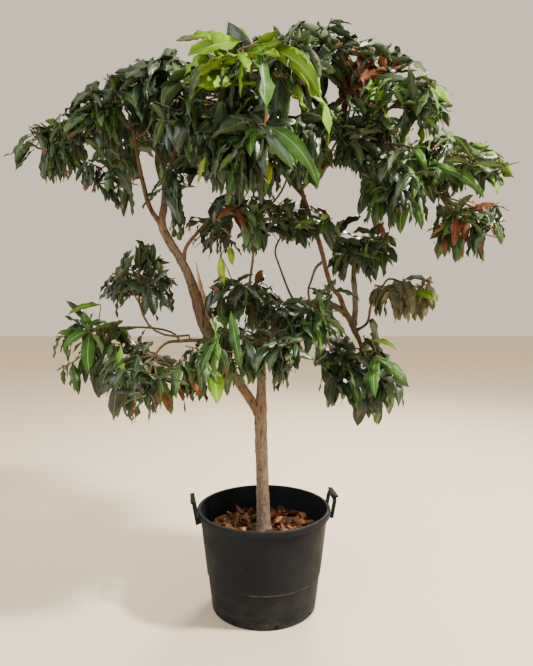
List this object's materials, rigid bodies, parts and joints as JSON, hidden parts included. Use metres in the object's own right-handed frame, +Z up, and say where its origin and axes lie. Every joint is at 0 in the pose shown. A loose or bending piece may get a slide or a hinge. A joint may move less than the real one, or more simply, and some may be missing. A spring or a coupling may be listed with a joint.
{
  "type": "young mango tree in a nursery tub",
  "caption": "Young mango tree with a spreading crown of drooping leaf whorls, rooted in a round plastic tub with two handles.",
  "frame": {"origin": "middle of the tub's flat underside, on the ground", "axes": "+Z up along the trunk; +X to the right and -Y towards someone who faces the tree as the picture does"},
  "size_m": [1.7756, 1.3422, 2.125],
  "materials": {
    "tub_plastic": "charcoal moulded polypropylene, dusty and scuffed near its foot",
    "potting_soil": "dark potting mix under a litter of dry brown leaves",
    "trunk_bark": "smooth grey-beige young bark with leaf scars and fine cracks",
    "bough_bark": "grey-brown young bark",
    "leaf_green": "leathery dark green leaves with a soft gloss",
    "leaf_bright": "young bright green leaves",
    "leaf_wilted": "dry olive-brown leaves"
  },
  "bodies": {
    "root": {"tub": "tub_plastic", "handle_right": "tub_plastic", "handle_left": "tub_plastic", "soil": "potting_soil", "trunk": "trunk_bark", "left_bough": "bough_bark", "upper_left_bough": "bough_bark", "far_left_branch": "bough_bark", "left_wing_branch": "bough_bark", "inner_spur": "bough_bark", "left_low_limb": "bough_bark", "right_bough": "bough_bark", "right_leader": "bough_bark", "grey_limb": "bough_bark", "right_twig": "bough_bark", "centre_stem": "bough_bark", "slender_stem": "bough_bark", "arc_twig": "bough_bark", "front_bough": "bough_bark", "right_wing_bough": "bough_bark", "back_left_bough": "bough_bark", "back_bough": "bough_bark", "back_right_bough": "bough_bark", "foliage_left_tip": "leaf_green", "foliage_left_wing": "leaf_green", "foliage_left_shoulder": "leaf_green", "foliage_left_hang": "leaf_green", "foliage_left_inner": "leaf_green", "foliage_heart": "leaf_green", "foliage_centre_left": "leaf_green", "foliage_top_front": "leaf_bright", "foliage_centre_front": "leaf_green", "foliage_centre_right": "leaf_green", "foliage_top_right": "leaf_green", "foliage_right_upper": "leaf_green", "foliage_right_inner": "leaf_green", "foliage_right_rosette": "leaf_green", "foliage_right_hanging": "leaf_green", "foliage_right_wing": "leaf_green", "foliage_right_tip": "leaf_green", "foliage_mid_left": "leaf_green", "foliage_mid_centre": "leaf_green", "foliage_mid_right": "leaf_green", "foliage_right_mid": "leaf_green", "foliage_wilted": "leaf_wilted", "foliage_low_right": "leaf_green", "foliage_arc": "leaf_green", "foliage_centre": "leaf_green", "foliage_centre_low": "leaf_green", "foliage_left_of_trunk": "leaf_green", "foliage_left_shoot": "leaf_green", "foliage_left_spray": "leaf_green", "foliage_left_low": "leaf_green", "foliage_back_left": "leaf_green", "foliage_back": "leaf_green", "foliage_back_right": "leaf_green", "foliage_right_back": "leaf_green", "foliage_back_mid": "leaf_green", "foliage_back_low": "leaf_green"}
  },
  "joints": []
}
